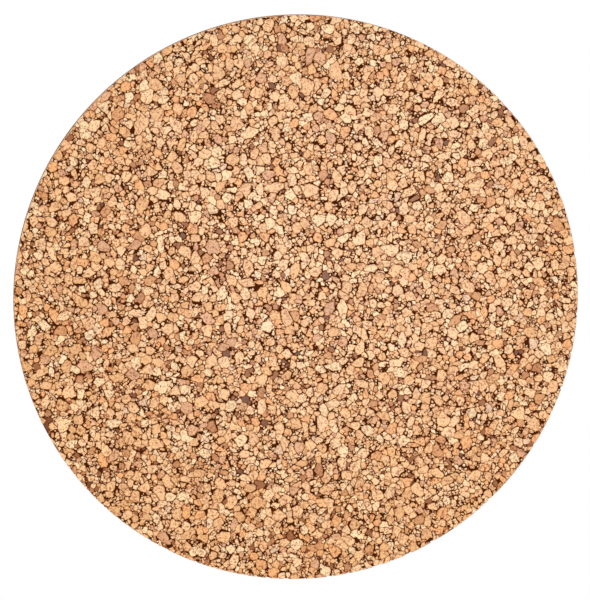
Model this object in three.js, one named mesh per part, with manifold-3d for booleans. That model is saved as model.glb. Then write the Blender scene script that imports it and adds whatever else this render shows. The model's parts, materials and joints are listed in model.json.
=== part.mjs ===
// Round frameless cork bulletin board, hung on a wall by two strap hangers with hinged D-rings.
//
// Sizes are in millimetres and +Z is up. The board stands upright: notices are pinned to its cork
// face, which looks along -Y, and its back looks along +Y at the wall. The origin is the middle of
// the wall plane that the four bumpers touch. Left and right are as seen from the cork face.

import * as THREE from 'three';
import { mergeVertices } from 'three/addons/utils/BufferGeometryUtils.js';
import Module from 'manifold-3d';

const wasm = await Module();
wasm.setup();

// ---------------------------------------------------------------------------------------------
// Driving dimensions
// ---------------------------------------------------------------------------------------------

// The board is a sheet of glued cork granules on a hardboard disc, both cut to one round outline.
const boardDiameter = 300;
const corkThickness = 5;
const hardboardThickness = 3;
const rimSegments = 180;

// Each D-ring is bent from steel wire, with its two ends butted inside the strap's fold.
const wireDiameter = 2.2;
const wireSegments = 12;
const wireSteps = 64;
const ringCornerRadius = 2.5;
const ringShoulderHeight = 4.5; // from the bar to the centre of the round end
const ringEndGap = 0.6;

// Each strap is one steel strip folded double round the ring's bar and riveted through both leaves.
const stripThickness = 0.8;
const strapWidth = 11;
const strapCornerRadius = 2.5;
const strapEndMargin = 6; // from the lower rivet to the strap's end
const leafGap = 0.1;
const foldReturnRadius = 1.7; // bend that lays the outer leaf back on the inner one
const foldSegments = 12; // for each half turn

// Rivets are semi-tubular steel: a domed head outside, and an end rolled over a washer inside.
const rivetHeadDiameter = 6;
const rivetHeadHeight = 1.2;
const rivetShankDiameter = 3;
const rivetCollarDiameter = 4.8;
const rivetCollarHeight = 1;
const rivetBoreDiameter = 1.8;
const washerDiameter = 8;
const washerThickness = 0.6;
const drillSegments = 24;

// The hangers' place on the board: the hinge line of both rings is level.
const hangerSpacing = 150;
const hingeHeight = 70; // above the board's centre

// Bumpers are stick-on rubber feet near the rim, at the top, bottom, left and right.
const bumperBaseDiameter = 13;
const bumperFaceDiameter = 11;
const bumperEdgeRadius = 1;
const bumperRimDistance = 18; // from the board's rim to the bumper's centre
const bumperSegments = 36;

// Clearances
const barClearance = 0.2; // between the ring's bar and the strap's fold, all round
const ringSidePlay = 1; // between the fold's ends and the ring's corners
const ringRestGap = 0.3; // where the ring lies against the board or against its strap
const ringSwingGap = 2; // between the folded-down ring and the rivets above and below it
const holeClearance = 0.1; // between a rivet's shank and its holes, all round
const pocketClearance = 0.4; // round and beyond a washer and its rivet, inside the cork
const wallClearance = 0.8; // between the hangers and the wall

// ---------------------------------------------------------------------------------------------
// Sizes worked out from them
// ---------------------------------------------------------------------------------------------

const foldInnerRadius = wireDiameter / 2 + barClearance;
const foldOuterRadius = foldInnerRadius + stripThickness;
const strapTop = 2 * stripThickness + leafGap; // both leaves, above the board's back

const backY = -(2 * foldOuterRadius + wallClearance); // the hardboard's back
const hardboardFrontY = backY - hardboardThickness;
const corkFrontY = hardboardFrontY - corkThickness;

const ringHalfWidth = strapWidth / 2 + ringSidePlay + ringCornerRadius; // to the wire's centre line
const ringReach = ringShoulderHeight + ringHalfWidth; // from the bar to the far end of the ring
const ringLean = Math.asin((foldOuterRadius - wireDiameter / 2 - ringRestGap) / ringReach);

const upperRivetDrop = foldOuterRadius + ringSwingGap / 2 + rivetHeadDiameter / 2 + foldReturnRadius;
const lowerRivetDrop = ringReach + wireDiameter / 2 + ringSwingGap + rivetHeadDiameter / 2;
const strapLength = lowerRivetDrop + strapEndMargin; // below the hinge line

const shankHoleRadius = rivetShankDiameter / 2 + holeClearance;
const pocketRadius = washerDiameter / 2 + pocketClearance;
const pocketDepth = washerThickness + rivetCollarHeight + pocketClearance;

const sides = { left: -1, right: 1 };
const rivetDrops = { upper: upperRivetDrop, lower: lowerRivetDrop };

// ---------------------------------------------------------------------------------------------
// Finishes
// ---------------------------------------------------------------------------------------------

const finish = {
  cork: { color: 0xc6976d, roughness: 0.85, metalness: 0 },
  hardboard: { color: 0x6b4427, roughness: 0.75, metalness: 0 },
  zincStrap: { color: 0xb9bcc0, roughness: 0.38, metalness: 1 },
  nickelRing: { color: 0xc9c7c0, roughness: 0.22, metalness: 1 },
  zincRivet: { color: 0xaeb2b6, roughness: 0.3, metalness: 1 },
  rubber: { color: 0x1f1f20, roughness: 0.8, metalness: 0 },
};

function part(name, geometry, look) {
  const mesh = new THREE.Mesh(geometry, new THREE.MeshStandardMaterial(look));
  mesh.name = name;
  return mesh;
}

// ---------------------------------------------------------------------------------------------
// Solid modelling helpers
// ---------------------------------------------------------------------------------------------

function toSolid(geometry) {
  const bare = geometry.clone();
  bare.deleteAttribute('normal');
  bare.deleteAttribute('uv');
  const merged = mergeVertices(bare);
  return new wasm.Manifold(new wasm.Mesh({
    numProp: 3,
    vertProperties: merged.attributes.position.array,
    triVerts: Uint32Array.from(merged.index.array),
  }));
}

function toGeometry(solid) {
  const mesh = solid.getMesh();
  const geometry = new THREE.BufferGeometry();
  geometry.setAttribute('position', new THREE.BufferAttribute(mesh.vertProperties, 3));
  geometry.setIndex(new THREE.BufferAttribute(mesh.triVerts, 1));
  geometry.computeVertexNormals();
  return geometry;
}

// A round bar along Y, from one Y to another, at the given X and Z.
function barAlongY(radius, fromY, toY, x, z, segments) {
  const bar = new THREE.CylinderGeometry(radius, radius, toY - fromY, segments);
  return bar.translate(x, (fromY + toY) / 2, z);
}

function cutAway(blank, cutters) {
  return toGeometry(cutters.reduce((rest, cutter) => rest.subtract(toSolid(cutter)), toSolid(blank)));
}

// Where the rivets go through the board, as X and Z in the board's own frame.
const rivetPlaces = Object.values(sides).flatMap((side) =>
  Object.values(rivetDrops).map((drop) => [side * hangerSpacing / 2, hingeHeight - drop]));

// ---------------------------------------------------------------------------------------------
// Board
// ---------------------------------------------------------------------------------------------

// The cork sheet has four blind pockets in its glued side, which clear the rivets' rolled ends.
function makeCorkFace() {
  const disc = barAlongY(boardDiameter / 2, corkFrontY, hardboardFrontY, 0, 0, rimSegments);
  const pockets = rivetPlaces.map(([x, z]) =>
    barAlongY(pocketRadius, hardboardFrontY - pocketDepth, hardboardFrontY + 1, x, z, drillSegments));
  return part('cork_face', cutAway(disc, pockets), finish.cork);
}

function makeHardboardBack() {
  const disc = barAlongY(boardDiameter / 2, hardboardFrontY, backY, 0, 0, rimSegments);
  const holes = rivetPlaces.map(([x, z]) =>
    barAlongY(shankHoleRadius, hardboardFrontY - 1, backY + 1, x, z, drillSegments));
  return part('hardboard_back', cutAway(disc, holes), finish.hardboard);
}

// A low cone with a rounded edge and a flat face, which touches the wall plane at Y = 0.
function makeBumper(place, angle) {
  const profile = new THREE.Path();
  const faceEdge = bumperFaceDiameter / 2 - bumperEdgeRadius;
  profile.moveTo(0, backY);
  profile.lineTo(bumperBaseDiameter / 2, backY);
  profile.lineTo(bumperFaceDiameter / 2, -bumperEdgeRadius);
  profile.absarc(faceEdge, -bumperEdgeRadius, bumperEdgeRadius, 0, Math.PI / 2);
  profile.lineTo(0, 0);
  const bumper = part(`bumper_${place}`,
    new THREE.LatheGeometry(profile.getPoints(3), bumperSegments), finish.rubber);
  const distance = boardDiameter / 2 - bumperRimDistance;
  bumper.position.set(distance * Math.cos(angle), 0, distance * Math.sin(angle));
  return bumper;
}

// ---------------------------------------------------------------------------------------------
// Hanger: strap, D-ring, rivets and washers
//
// A hanger's own frame has X along the hinge, Y = 0 on the hardboard's back and growing towards
// the wall, and Z = 0 on the hinge line, growing upwards.
// ---------------------------------------------------------------------------------------------

// The strip's edge view. It runs up the board, round the ring's bar, and back down to lie on
// itself. Across the page is the distance from the board, and up the page is the height.
function stripOutline() {
  const half = stripThickness / 2;
  const foldMiddle = foldInnerRadius + half;
  const outerLeafMiddle = stripThickness + leafGap + half;
  // The fold turns past a half circle by foldOverturn, then the return bend takes that back.
  const foldOverturn = Math.acos(
    (foldReturnRadius + outerLeafMiddle - foldOuterRadius) / (foldMiddle + foldReturnRadius));
  const returnX = foldOuterRadius + (foldMiddle + foldReturnRadius) * Math.cos(foldOverturn);
  const returnZ = -(foldMiddle + foldReturnRadius) * Math.sin(foldOverturn);

  const outline = new THREE.Shape();
  outline.moveTo(0, -strapLength);
  outline.lineTo(0, 0);
  outline.absarc(foldOuterRadius, 0, foldOuterRadius, Math.PI, -foldOverturn, true);
  outline.absarc(returnX, returnZ, foldReturnRadius - half, Math.PI - foldOverturn, Math.PI, false);
  outline.lineTo(strapTop, -strapLength);
  outline.lineTo(stripThickness + leafGap, -strapLength);
  outline.absarc(returnX, returnZ, foldReturnRadius + half, Math.PI, Math.PI - foldOverturn, true);
  outline.absarc(foldOuterRadius, 0, foldInnerRadius, -foldOverturn, Math.PI, false);
  outline.lineTo(stripThickness, -strapLength);
  return outline;
}

// The strap seen from the wall: a rectangle whose two lower corners are rounded off.
function strapBlank() {
  const x = strapWidth / 2;
  const r = strapCornerRadius;
  const plan = new THREE.Shape();
  plan.moveTo(x, foldOuterRadius + 1);
  plan.lineTo(-x, foldOuterRadius + 1);
  plan.absarc(-x + r, -strapLength + r, r, Math.PI, 1.5 * Math.PI, false);
  plan.absarc(x - r, -strapLength + r, r, 1.5 * Math.PI, 2 * Math.PI, false);
  const depth = 2 * foldOuterRadius + 2;
  const blank = new THREE.ExtrudeGeometry(plan, { depth, bevelEnabled: false, curveSegments: 4 });
  return blank.rotateX(Math.PI / 2).translate(0, depth - 1, 0);
}

function makeStrap(side) {
  const width = strapWidth + 2;
  const strip = new THREE.ExtrudeGeometry(stripOutline(),
    { depth: width, bevelEnabled: false, curveSegments: foldSegments / 2 });
  // Turn the outline's page so that its extrusion runs along X.
  strip.applyMatrix4(new THREE.Matrix4().makeBasis(
    new THREE.Vector3(0, 1, 0), new THREE.Vector3(0, 0, 1), new THREE.Vector3(1, 0, 0)));
  strip.translate(-width / 2, 0, 0);
  const folded = toSolid(strip).intersect(toSolid(strapBlank()));
  const holes = Object.values(rivetDrops).map((drop) =>
    toSolid(barAlongY(shankHoleRadius, -1, strapTop + 1, 0, -drop, drillSegments)));
  const drilled = holes.reduce((rest, hole) => rest.subtract(hole), folded);
  return part(`hanger_strap_${side}`, toGeometry(drilled), finish.zincStrap);
}

// Centre line of a D-ring in its own XZ plane: half the bar, a corner, a leg, the round end, and
// the same again in mirror image. It starts and ends on either side of the butt gap.
class RingCurve extends THREE.Curve {
  constructor() {
    super();
    const w = ringHalfWidth;
    const r = ringCornerRadius;
    const outline = new THREE.Path();
    outline.moveTo(ringEndGap / 2, 0);
    outline.absarc(w - r, r, r, -Math.PI / 2, 0, false);
    outline.absarc(0, ringShoulderHeight, w, 0, Math.PI, false);
    outline.absarc(-w + r, r, r, Math.PI, 1.5 * Math.PI, false);
    outline.lineTo(-ringEndGap / 2, 0);
    this.outline = outline;
  }

  getPoint(t, target = new THREE.Vector3()) {
    const point = this.outline.getPoint(t);
    return target.set(point.x, 0, point.y);
  }
}

function makeRing(side) {
  const section = new THREE.Shape();
  section.absarc(0, 0, wireDiameter / 2, 0, 2 * Math.PI, false);
  const wire = new THREE.ExtrudeGeometry(section, {
    steps: wireSteps,
    bevelEnabled: false,
    curveSegments: wireSegments / 2,
    extrudePath: new RingCurve(),
  });
  return part(`d_ring_${side}`, wire, finish.nickelRing);
}

// Profile from the dome's crown, down the shank, to the rolled collar and the hollow in its end.
function makeRivet(side, level) {
  const washerFace = -hardboardThickness - washerThickness;
  const end = washerFace - rivetCollarHeight;
  const headRadius = rivetHeadDiameter / 2;
  const domeRadius = (headRadius ** 2 + rivetHeadHeight ** 2) / (2 * rivetHeadHeight);
  const domeCentre = strapTop + rivetHeadHeight - domeRadius;
  const rimAngle = Math.acos(headRadius / domeRadius);
  const collarBend = rivetCollarHeight / 2;
  const profile = new THREE.Path();
  profile.moveTo(0, end + rivetCollarHeight * 2);
  profile.lineTo(rivetBoreDiameter / 2, end + rivetCollarHeight * 2);
  profile.lineTo(rivetBoreDiameter / 2, end);
  profile.lineTo(rivetCollarDiameter / 2 - collarBend, end);
  profile.absarc(rivetCollarDiameter / 2 - collarBend, end + collarBend, collarBend,
    -Math.PI / 2, Math.PI / 2, false);
  profile.lineTo(rivetShankDiameter / 2, washerFace);
  profile.lineTo(rivetShankDiameter / 2, strapTop);
  profile.lineTo(headRadius, strapTop);
  profile.absarc(0, domeCentre, domeRadius, rimAngle, Math.PI / 2, false);
  const rivet = new THREE.LatheGeometry(profile.getPoints(4), drillSegments);
  return part(`rivet_${side}_${level}`, rivet, finish.zincRivet);
}

function makeWasher(side, level) {
  const front = -hardboardThickness - washerThickness;
  const section = [
    [shankHoleRadius, front],
    [washerDiameter / 2, front],
    [washerDiameter / 2, -hardboardThickness],
    [shankHoleRadius, -hardboardThickness],
    [shankHoleRadius, front],
  ].map(([x, y]) => new THREE.Vector2(x, y));
  const washer = new THREE.LatheGeometry(section, drillSegments);
  return part(`rivet_washer_${side}_${level}`, washer, finish.zincRivet);
}

// The ring is flipped up and leans on the board's back, which is how it meets a wall hook.
function makeHanger(side) {
  const hanger = new THREE.Group();
  hanger.position.set(sides[side] * hangerSpacing / 2, backY, hingeHeight);
  hanger.add(makeStrap(side));

  const ring = makeRing(side);
  ring.position.y = foldOuterRadius;
  ring.rotation.x = ringLean;
  hanger.add(ring);

  for (const [level, drop] of Object.entries(rivetDrops)) {
    const fixing = new THREE.Group();
    fixing.position.z = -drop;
    fixing.add(makeRivet(side, level), makeWasher(side, level));
    hanger.add(fixing);
  }
  return hanger;
}

// ---------------------------------------------------------------------------------------------
// Assembly
// ---------------------------------------------------------------------------------------------

const bulletinBoard = new THREE.Group();
bulletinBoard.name = 'cork_bulletin_board';
bulletinBoard.add(makeCorkFace(), makeHardboardBack());
['right', 'top', 'left', 'bottom'].forEach((place, i) => {
  bulletinBoard.add(makeBumper(place, i * Math.PI / 2));
});
for (const side of Object.keys(sides)) {
  bulletinBoard.add(makeHanger(side));
}

export default bulletinBoard;
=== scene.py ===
import json
import math

import bmesh
import bpy
import numpy as np
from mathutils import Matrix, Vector, kdtree, noise


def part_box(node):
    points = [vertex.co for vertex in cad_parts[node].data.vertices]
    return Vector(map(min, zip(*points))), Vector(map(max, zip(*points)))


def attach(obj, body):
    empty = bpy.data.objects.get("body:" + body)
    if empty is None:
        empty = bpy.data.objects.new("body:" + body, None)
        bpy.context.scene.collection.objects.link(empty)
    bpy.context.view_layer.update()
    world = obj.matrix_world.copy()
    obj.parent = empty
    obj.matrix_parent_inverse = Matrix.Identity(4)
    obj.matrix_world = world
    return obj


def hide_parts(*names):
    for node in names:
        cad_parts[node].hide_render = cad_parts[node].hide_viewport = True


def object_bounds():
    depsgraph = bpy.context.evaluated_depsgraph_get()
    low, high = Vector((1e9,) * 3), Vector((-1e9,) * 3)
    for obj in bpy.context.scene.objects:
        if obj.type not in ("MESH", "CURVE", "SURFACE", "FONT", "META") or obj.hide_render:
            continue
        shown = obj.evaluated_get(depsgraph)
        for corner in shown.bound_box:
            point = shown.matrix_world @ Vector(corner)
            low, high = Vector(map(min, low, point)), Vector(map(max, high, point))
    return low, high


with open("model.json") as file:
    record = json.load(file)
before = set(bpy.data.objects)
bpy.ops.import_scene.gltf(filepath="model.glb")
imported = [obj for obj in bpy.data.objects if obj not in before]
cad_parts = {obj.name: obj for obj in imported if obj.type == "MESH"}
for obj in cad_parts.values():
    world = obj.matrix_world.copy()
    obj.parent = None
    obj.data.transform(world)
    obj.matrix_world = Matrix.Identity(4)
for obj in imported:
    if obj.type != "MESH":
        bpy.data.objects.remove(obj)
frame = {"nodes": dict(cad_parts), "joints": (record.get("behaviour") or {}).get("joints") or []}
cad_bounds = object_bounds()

# ---------------------------------------------------------------------------------------------
# View and light
#
# The board hangs upright in a white room, which gives nearly all the light. The camera looks
# from the upper left with a long lens. A small softbox in front, which the face mirrors dully,
# gives it a faint haze right of its middle, and a large one lights the back.
# ---------------------------------------------------------------------------------------------

MM = 0.001
middle = (cad_bounds[0] + cad_bounds[1]) / 2
face_width = cad_bounds[1].x - cad_bounds[0].x

VIEW_AZIMUTH = math.radians(-6.8)
VIEW_ELEVATION = math.radians(6.8)
VIEW_DISTANCE = 2.4
FACE_SHARE = 0.96  # of the frame's width that the face fills


def around(azimuth, elevation, distance):
    """A point at a distance from the board's middle, azimuth 0 being straight in front."""
    across = math.cos(elevation) * distance
    return middle + Vector((math.sin(azimuth) * across, -math.cos(azimuth) * across,
                            math.sin(elevation) * distance))


def aimed(thing, place):
    """Puts a camera or a light at a place and turns it to the board's middle."""
    holder = bpy.data.objects.new(thing.name, thing)
    bpy.context.scene.collection.objects.link(holder)
    holder.location = place
    holder.rotation_euler = (middle - place).to_track_quat("-Z", "Y").to_euler()
    return holder


lens = bpy.data.cameras.new("camera")
lens.sensor_fit = "HORIZONTAL"
lens.sensor_width = 36
lens.lens = lens.sensor_width * VIEW_DISTANCE * FACE_SHARE / face_width
lens.shift_x = -0.0028
lens.shift_y = -0.0039
bpy.context.scene.camera = aimed(lens, around(VIEW_AZIMUTH, VIEW_ELEVATION, VIEW_DISTANCE))
bpy.context.scene.view_settings.view_transform = "Standard"


def softbox(name, azimuth, elevation, distance, size, power):
    """A square panel of soft light: degrees, metres and watts."""
    panel = bpy.data.lights.new(name, "AREA")
    panel.size = size
    panel.energy = power
    aimed(panel, around(math.radians(azimuth), math.radians(elevation), distance))


softbox("softbox_front", 8, -5, 2.2, 0.38, 14)
softbox("softbox_back", 205, 35, 1.8, 1.2, 14)


def new_node(tree, kind, settings=None, **inputs):
    """Adds a node. An input is a value, another node's output, or a node, for its first output."""
    made = tree.nodes.new(kind)
    for name, value in (settings or {}).items():
        setattr(made, name, value)
    for name, value in inputs.items():
        socket = made.inputs[int(name[3:]) if name.startswith("in_") else name.replace("_", " ")]
        if isinstance(value, bpy.types.Node):
            value = value.outputs[0]
        if isinstance(value, bpy.types.NodeSocket):
            tree.links.new(value, socket)
        else:
            socket.default_value = value
    return made


# The room is white to the camera, and its light is a little weaker than what the camera sees.
room = bpy.data.worlds.new("white_room")
room.use_nodes = True
bpy.context.scene.world = room
room_sky = room.node_tree.nodes["Background"]
room_sky.inputs["Color"].default_value = (1, 1, 1, 1)
seen_sky = new_node(room.node_tree, "ShaderNodeBackground", Color=(1, 1, 1, 1), Strength=1.0)
room_sky.inputs["Strength"].default_value = 0.81
who_looks = new_node(room.node_tree, "ShaderNodeLightPath")
sky_mix = new_node(room.node_tree, "ShaderNodeMixShader", in_0=who_looks.outputs["Is Camera Ray"],
                   in_1=room_sky, in_2=seen_sky)
room.node_tree.links.new(sky_mix.outputs[0], room.node_tree.nodes["World Output"].inputs["Surface"])


def srgb(code):
    """An sRGB hex colour as linear red, green, blue and alpha."""
    channels = [int(code[i:i + 2], 16) / 255 for i in (1, 3, 5)]
    return [c / 12.92 if c <= 0.04045 else ((c + 0.055) / 1.055) ** 2.4 for c in channels] + [1.0]


def new_material(name, **shader):
    """A material with a Principled shader, and its node tree and shader node."""
    made = bpy.data.materials.new(name)
    made.use_nodes = True
    principled = made.node_tree.nodes["Principled BSDF"]
    for socket, value in shader.items():
        principled.inputs[socket.replace("_", " ")].default_value = value
    return made, made.node_tree, principled


def link_finish(tree, shader, colour, gloss, bump):
    """Links the colour, the roughness and the bump of a finish to its shader."""
    for node, output, socket in ((colour, 2, "Base Color"), (gloss, 0, "Roughness"), (bump, 0, "Normal")):
        tree.links.new(node.outputs[output], shader.inputs[socket])


def new_piece(name, mesh):
    """A new object at the origin for a mesh that is already in place."""
    made = bpy.data.objects.new(name, mesh)
    bpy.context.scene.collection.objects.link(made)
    return made


# The floor is far below the board, as under a wall. It is matt white, and fades into the room
# between two distances from the point below the board. All in metres.
FLOOR_DROP = 0.9
FLOOR_REACH = 15
FADE_BEGINS, FADE_ENDS = 1.2, 3.2
floor_mesh = bpy.data.meshes.new("floor")
floor_corners = [(x * FLOOR_REACH, y * FLOOR_REACH, middle.z - FLOOR_DROP)
                 for x, y in ((-1, -1), (1, -1), (1, 1), (-1, 1))]
floor_mesh.from_pydata(floor_corners, [], [(0, 1, 2, 3)])
floor_white, floor_tree, floor_shader = new_material("matt_white_floor", Base_Color=srgb("#f4f3f1"),
                                                     Roughness=0.9)
floor_place = new_node(floor_tree, "ShaderNodeTexCoord").outputs["Object"]
floor_distance = new_node(floor_tree, "ShaderNodeVectorMath", {"operation": "LENGTH"}, in_0=floor_place)
floor_fade = new_node(floor_tree, "ShaderNodeMapRange", {"interpolation_type": "SMOOTHSTEP"},
                      Value=floor_distance.outputs["Value"], in_1=FADE_BEGINS, in_2=FADE_ENDS)
room_white = new_node(floor_tree, "ShaderNodeEmission", Color=(1, 1, 1, 1), Strength=1.0)
faded = new_node(floor_tree, "ShaderNodeMixShader", in_0=floor_fade, in_1=floor_shader, in_2=room_white)
floor_tree.links.new(faded.outputs[0], floor_tree.nodes["Material Output"].inputs["Surface"])
floor_mesh.materials.append(floor_white)
new_piece("floor", floor_mesh)

# ---------------------------------------------------------------------------------------------
# Hardboard back
#
# A disc of tempered hardboard: wood fibre pressed hot into a dense brown sheet and oiled. It is
# routed round, its back edge is eased with a scraper, and it is drilled for the hangers' rivets.
# ---------------------------------------------------------------------------------------------

hardboard_low, hardboard_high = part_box("hardboard_back")
BACK_Y = hardboard_high.y
BOARD_RADIUS = (hardboard_high.x - hardboard_low.x) / 2
EASED_EDGE = 0.45 * MM
EDGE_BULGE = 0.3  # of the eased edge, how near its middle comes to the sharp corner
RIVET_HOLE_RADIUS = 1.6 * MM
RIVETS = [f"rivet_{side}_{level}" for side in ("left", "right") for level in ("upper", "lower")]


def centre(node):
    low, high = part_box(node)
    return (low + high) / 2


def ring_of(work, radius, y, around=(0, 0), count=24):
    """A closed ring of new vertices about a line along Y."""
    turns = [2 * math.pi * i / count for i in range(count)]
    return [work.verts.new((around[0] + radius * math.cos(t), y, around[1] + radius * math.sin(t)))
            for t in turns]


def walled(work, rings):
    """Faces from each ring to the next."""
    for ring, following in zip(rings, rings[1:]):
        for i in range(len(ring)):
            work.faces.new((ring[i - 1], ring[i], following[i], following[i - 1])).smooth = True


def filled(work, loops):
    """Triangles that fill the flat space between an outer loop and the loops inside it."""
    edges = [work.edges.get((loop[i - 1], loop[i])) for loop in loops for i in range(len(loop))]
    bmesh.ops.triangle_fill(work, edges=edges, use_beauty=True)


disc = bmesh.new()
front_y = hardboard_low.y
rim_rings = [ring_of(disc, radius, y, count=240) for radius, y in (
    (BOARD_RADIUS, front_y), (BOARD_RADIUS, BACK_Y - EASED_EDGE),
    (BOARD_RADIUS - EDGE_BULGE * EASED_EDGE, BACK_Y - EDGE_BULGE * EASED_EDGE),
    (BOARD_RADIUS - EASED_EDGE, BACK_Y))]
walled(disc, rim_rings)
holes = [[ring_of(disc, RIVET_HOLE_RADIUS, y, (centre(rivet).x, centre(rivet).z))
          for y in (front_y, BACK_Y)] for rivet in RIVETS]
for hole in holes:
    walled(disc, hole)
walls = set(disc.faces)
filled(disc, [rim_rings[0]] + [hole[0] for hole in holes])
filled(disc, [rim_rings[-1]] + [hole[1] for hole in holes])
for face in disc.faces:
    face.material_index = int(face in walls)
bmesh.ops.recalc_face_normals(disc, faces=disc.faces)
hardboard_mesh = bpy.data.meshes.new("hardboard_disc")
disc.to_mesh(hardboard_mesh)
disc.free()
hardboard_mesh.set_sharp_from_angle(angle=math.radians(50))
hardboard = new_piece("hardboard_disc", hardboard_mesh)


SLIVER = (5 * MM, 0.6 * MM, 0.55 * MM)  # length, depth and width of a fibre bundle
SLIVER_LAYS = (0.4, 1.5, 2.7)           # radians
FIBRE_PATCH = 22 * MM                   # across a patch where the mat is darker or duller


def hardboard_finish(name, dark, light, roughness, fibre_strength, relief):
    """Pressed wood fibre: pale and dark slivers lie every way in a brown ground."""
    made, tree, shader = new_material(name, Roughness=roughness, Specular_IOR_Level=0.4)
    place = new_node(tree, "ShaderNodeTexCoord").outputs["Object"]
    patches = new_node(tree, "ShaderNodeTexNoise", Vector=place, Scale=1 / FIBRE_PATCH, Detail=4.0)
    tangle = None
    for lay in SLIVER_LAYS:
        laid = new_node(tree, "ShaderNodeVectorRotate", {"rotation_type": "Y_AXIS"}, Vector=place,
                        Angle=lay)
        drawn = new_node(tree, "ShaderNodeVectorMath", {"operation": "DIVIDE"}, in_0=laid, in_1=SLIVER)
        slivers = new_node(tree, "ShaderNodeTexNoise", Vector=drawn, Scale=1.0, Detail=2.0,
                           Distortion=0.6)
        tangle = slivers if tangle is None else new_node(
            tree, "ShaderNodeMath", {"operation": "MAXIMUM"}, in_0=tangle, in_1=slivers)
    share = new_node(tree, "ShaderNodeMapRange", Value=tangle, in_1=0.52, in_2=0.74, in_3=-0.12,
                     in_4=fibre_strength)
    whole = new_node(tree, "ShaderNodeMath", {"operation": "MULTIPLY_ADD", "use_clamp": True},
                     in_0=patches, in_1=0.45, in_2=share)
    colour = new_node(tree, "ShaderNodeMix", {"data_type": "RGBA"}, in_0=whole, in_6=srgb(dark),
                      in_7=srgb(light))
    gloss = new_node(tree, "ShaderNodeMapRange", Value=patches, in_1=0.3, in_2=0.7,
                     in_3=roughness - 0.08, in_4=roughness + 0.08)
    bump = new_node(tree, "ShaderNodeBump", Strength=0.5, Distance=relief, Height=tangle)
    link_finish(tree, shader, colour, gloss, bump)
    return made


# The pressed face has a dull sheen; the routed edge is paler, and rough with torn fibre.
hardboard_mesh.materials.append(
    hardboard_finish("tempered_hardboard_face", "#3b2415", "#94683f", 0.46, 0.62, 0.05 * MM))
hardboard_mesh.materials.append(
    hardboard_finish("routed_hardboard_edge", "#50311b", "#b98a58", 0.85, 0.8, 0.25 * MM))
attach(hardboard, "board")
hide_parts("hardboard_back")

# ---------------------------------------------------------------------------------------------
# Hanger straps
#
# Each is a strip of 0.8 mm zinc-plated steel, blanked with round corners, pierced for two rivets
# and folded double round the D-ring's bar. Tumbling before plating has softened its edges.
# ---------------------------------------------------------------------------------------------

TUMBLED_EDGE = 0.14 * MM
DULLED = 0.8              # of the plating's brightness, where it is dullest
PLATING_CLOUD = 5 * MM    # across a dulled patch
PLATING_RELIEF = 0.02 * MM


def cad_copy(node, name):
    """A CAD node's mesh as a new mesh, with its loose triangles merged."""
    mesh = frame["nodes"][node].data.copy()
    mesh.name = name
    mesh.materials.clear()
    work = bmesh.new()
    work.from_mesh(mesh)
    bmesh.ops.remove_doubles(work, verts=work.verts, dist=1e-6)
    work.to_mesh(mesh)
    work.free()
    return mesh


def plated_finish(name, tint, roughness, grain_along, grain_across, unevenness):
    """Bright plating on steel: fine drawing lines, faint cloudy dulling and a slight waviness."""
    made, tree, shader = new_material(name, Metallic=1.0, Roughness=roughness)
    place = new_node(tree, "ShaderNodeTexCoord").outputs["Object"]
    clouds = new_node(tree, "ShaderNodeTexNoise", Vector=place, Scale=1 / PLATING_CLOUD, Detail=4.0)
    drawn = new_node(tree, "ShaderNodeVectorMath", {"operation": "DIVIDE"}, in_0=place,
                     in_1=(grain_across, grain_across, grain_along))
    lines = new_node(tree, "ShaderNodeTexNoise", Vector=drawn, Scale=1.0, Detail=3.0)
    colour = new_node(tree, "ShaderNodeMix", {"data_type": "RGBA"}, in_0=clouds,
                      in_6=[c * DULLED for c in srgb(tint)[:3]] + [1], in_7=srgb(tint))
    both = new_node(tree, "ShaderNodeMath", {"operation": "MULTIPLY_ADD"}, in_0=lines, in_1=0.5,
                    in_2=clouds)
    gloss = new_node(tree, "ShaderNodeMapRange", Value=both, in_1=0.5, in_2=1.0,
                     in_3=roughness - unevenness, in_4=roughness + unevenness)
    bump = new_node(tree, "ShaderNodeBump", Strength=0.25, Distance=PLATING_RELIEF, Height=lines)
    link_finish(tree, shader, colour, gloss, bump)
    return made


zinc_strip = plated_finish("bright_zinc_plated_strip", "#c9cdd0", 0.34, 6 * MM, 0.12 * MM, 0.1)
for side in ("left", "right"):
    strap_mesh = cad_copy(f"hanger_strap_{side}", f"strap_{side}")
    strap_work = bmesh.new()
    strap_work.from_mesh(strap_mesh)
    bmesh.ops.dissolve_limit(strap_work, angle_limit=math.radians(0.5), verts=strap_work.verts,
                             edges=strap_work.edges)
    corners = [edge for edge in strap_work.edges if edge.calc_face_angle(0) > math.radians(50)]
    bmesh.ops.bevel(strap_work, geom=corners, offset=TUMBLED_EDGE, segments=2, profile=0.5,
                    affect="EDGES", clamp_overlap=True)
    strap_work.to_mesh(strap_mesh)
    strap_work.free()
    strap_mesh.shade_smooth()
    strap_mesh.set_sharp_from_angle(angle=math.radians(35))
    strap_mesh.materials.append(zinc_strip)
    strap = new_piece(f"strap_{side}", strap_mesh)
    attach(strap, "board")
    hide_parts(f"hanger_strap_{side}")

# ---------------------------------------------------------------------------------------------
# D-rings
#
# Steel wire of 2.2 mm, bent to a D, its ends butted inside the strap's fold, then bright nickel
# plated. Each turns in its fold; at rest it is flipped up and leans on the board's back.
# ---------------------------------------------------------------------------------------------

WIRE_RADIUS = 1.1 * MM
RING_HALF_WIDTH = 9 * MM      # from the ring's middle to the wire's centre line
RING_CORNER_RADIUS = 2.5 * MM
RING_SHOULDER = 4.5 * MM      # from the bar up to the centre of the round end
BUTT_GAP = 0.6 * MM
RING_LEAN = math.asin(0.7 / 13.5)  # the wire's far end stops 0.3 mm short of the board
SHARP_EDGE = math.radians(50)


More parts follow.
